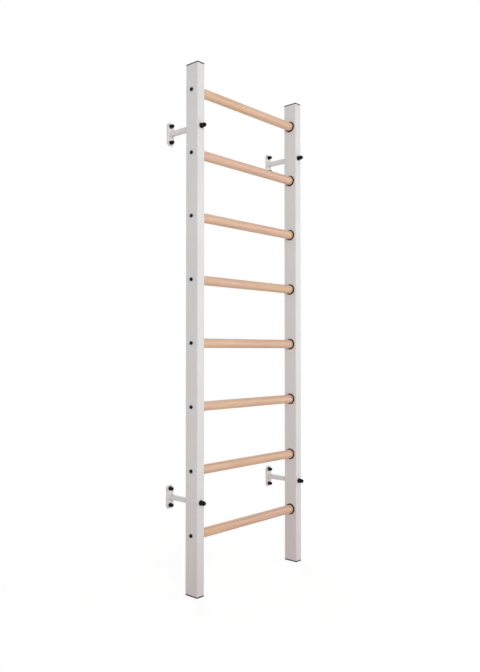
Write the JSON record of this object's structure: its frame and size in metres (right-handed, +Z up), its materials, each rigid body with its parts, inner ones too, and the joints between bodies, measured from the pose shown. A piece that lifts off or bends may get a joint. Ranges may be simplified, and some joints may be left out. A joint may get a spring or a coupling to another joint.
{
  "type": "wall bars",
  "caption": "Wall-mounted climbing and stretching ladder: white steel uprights, round beech rungs in black grommets, and wall brackets with black nut caps.",
  "frame": {"origin": "on the wall's surface at floor level, midway between the uprights", "axes": "+Z up along the uprights, +Y into the wall, +X along the rungs towards the right of a climber who faces the wall"},
  "size_m": [0.7156, 0.2178, 2.2],
  "materials": {
    "white_powder_coat": "satin white powder coat",
    "beech": "clear-varnished beech, satin",
    "black_rubber": "matt black rubber",
    "black_plastic": "moulded black plastic, satin",
    "black_steel": "blackened steel screw",
    "zinc_steel": "bright zinc plating, under the caps"
  },
  "bodies": {
    "root": {"upright_left": "white_powder_coat", "upright_right": "white_powder_coat", "end_cap_top_left": "black_plastic", "end_cap_top_right": "black_plastic", "end_cap_bottom_left": "black_plastic", "end_cap_bottom_right": "black_plastic", "rung_1": "beech", "rung_2": "beech", "rung_3": "beech", "rung_4": "beech", "rung_5": "beech", "rung_6": "beech", "rung_7": "beech", "rung_8": "beech", "grommet_left_1": "black_rubber", "grommet_left_2": "black_rubber", "grommet_left_3": "black_rubber", "grommet_left_4": "black_rubber", "grommet_left_5": "black_rubber", "grommet_left_6": "black_rubber", "grommet_left_7": "black_rubber", "grommet_left_8": "black_rubber", "grommet_right_1": "black_rubber", "grommet_right_2": "black_rubber", "grommet_right_3": "black_rubber", "grommet_right_4": "black_rubber", "grommet_right_5": "black_rubber", "grommet_right_6": "black_rubber", "grommet_right_7": "black_rubber", "grommet_right_8": "black_rubber", "rung_screw_left_1": "black_steel", "rung_screw_left_2": "black_steel", "rung_screw_left_3": "black_steel", "rung_screw_left_4": "black_steel", "rung_screw_left_5": "black_steel", "rung_screw_left_6": "black_steel", "rung_screw_left_7": "black_steel", "rung_screw_left_8": "black_steel", "rung_screw_right_1": "black_steel", "rung_screw_right_2": "black_steel", "rung_screw_right_3": "black_steel", "rung_screw_right_4": "black_steel", "rung_screw_right_5": "black_steel", "rung_screw_right_6": "black_steel", "rung_screw_right_7": "black_steel", "rung_screw_right_8": "black_steel", "wall_bracket_top_left": "white_powder_coat", "bracket_bolt_top_left": "zinc_steel", "bolt_cap_top_left": "black_plastic", "wall_bracket_top_right": "white_powder_coat", "bracket_bolt_top_right": "zinc_steel", "bolt_cap_top_right": "black_plastic", "wall_bracket_bottom_left": "white_powder_coat", "bracket_bolt_bottom_left": "zinc_steel", "bolt_cap_bottom_left": "black_plastic", "wall_bracket_bottom_right": "white_powder_coat", "bracket_bolt_bottom_right": "zinc_steel", "bolt_cap_bottom_right": "black_plastic"}
  },
  "joints": []
}
